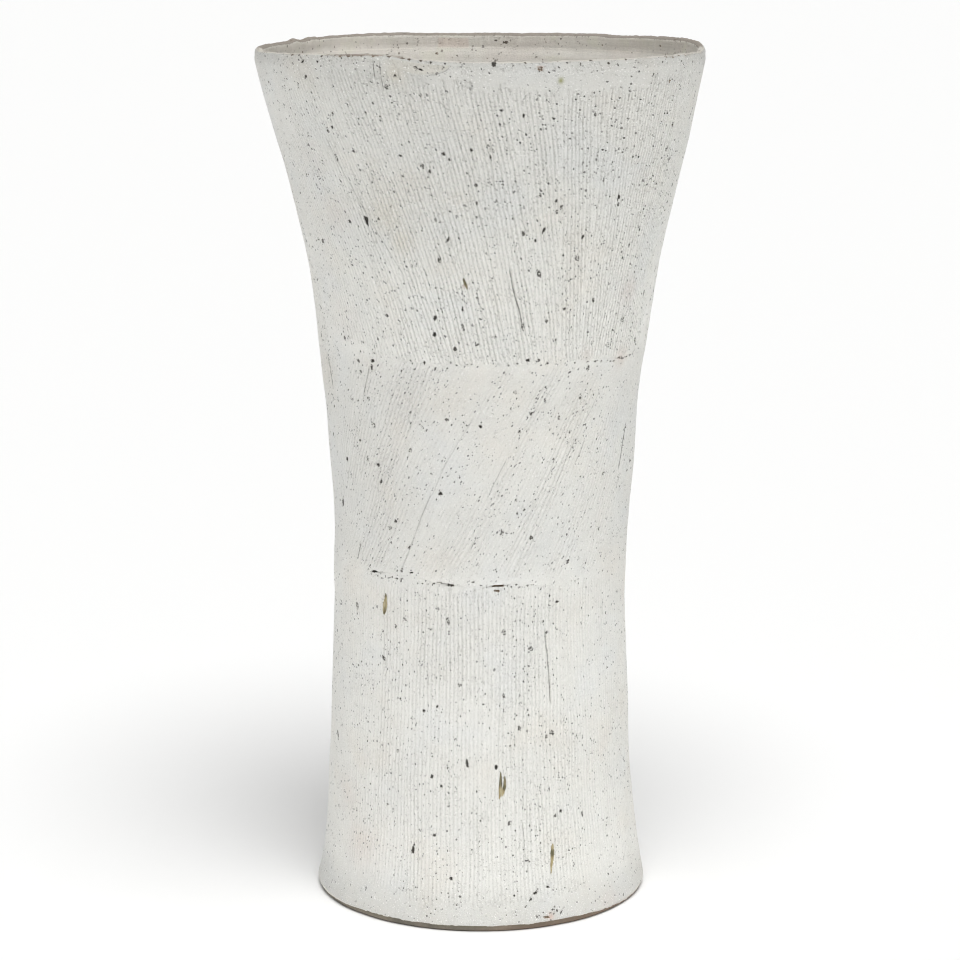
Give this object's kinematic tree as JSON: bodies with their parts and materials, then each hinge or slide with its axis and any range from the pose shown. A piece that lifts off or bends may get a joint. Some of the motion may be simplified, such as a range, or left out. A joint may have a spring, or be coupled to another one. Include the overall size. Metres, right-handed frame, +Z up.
{
  "type": "tall vase",
  "caption": "Tall stoneware vase with a flat foot, an upright waisted body of joined bands, combed white slip outside and a wide flared mouth.",
  "frame": {"origin": "centre of the foot, on the surface that the vase stands on", "axes": "+Z up along the vase's axis; -Y faces the viewer of the front; the body is round about Z"},
  "size_m": [0.2324, 0.2324, 0.45],
  "materials": {
    "slipped_clay": "matte white slip over speckled stoneware, combed outside",
    "inner_clay": "matte bare clay, smoothed by hand",
    "bare_clay": "matte bare fired clay"
  },
  "bodies": {
    "root": {"floor_slab": "bare_clay", "floor_coil": "inner_clay", "lower_wall": "slipped_clay", "lower_joint_coil": "inner_clay", "middle_wall": "slipped_clay", "upper_joint_coil": "inner_clay", "upper_wall": "slipped_clay"}
  },
  "joints": []
}
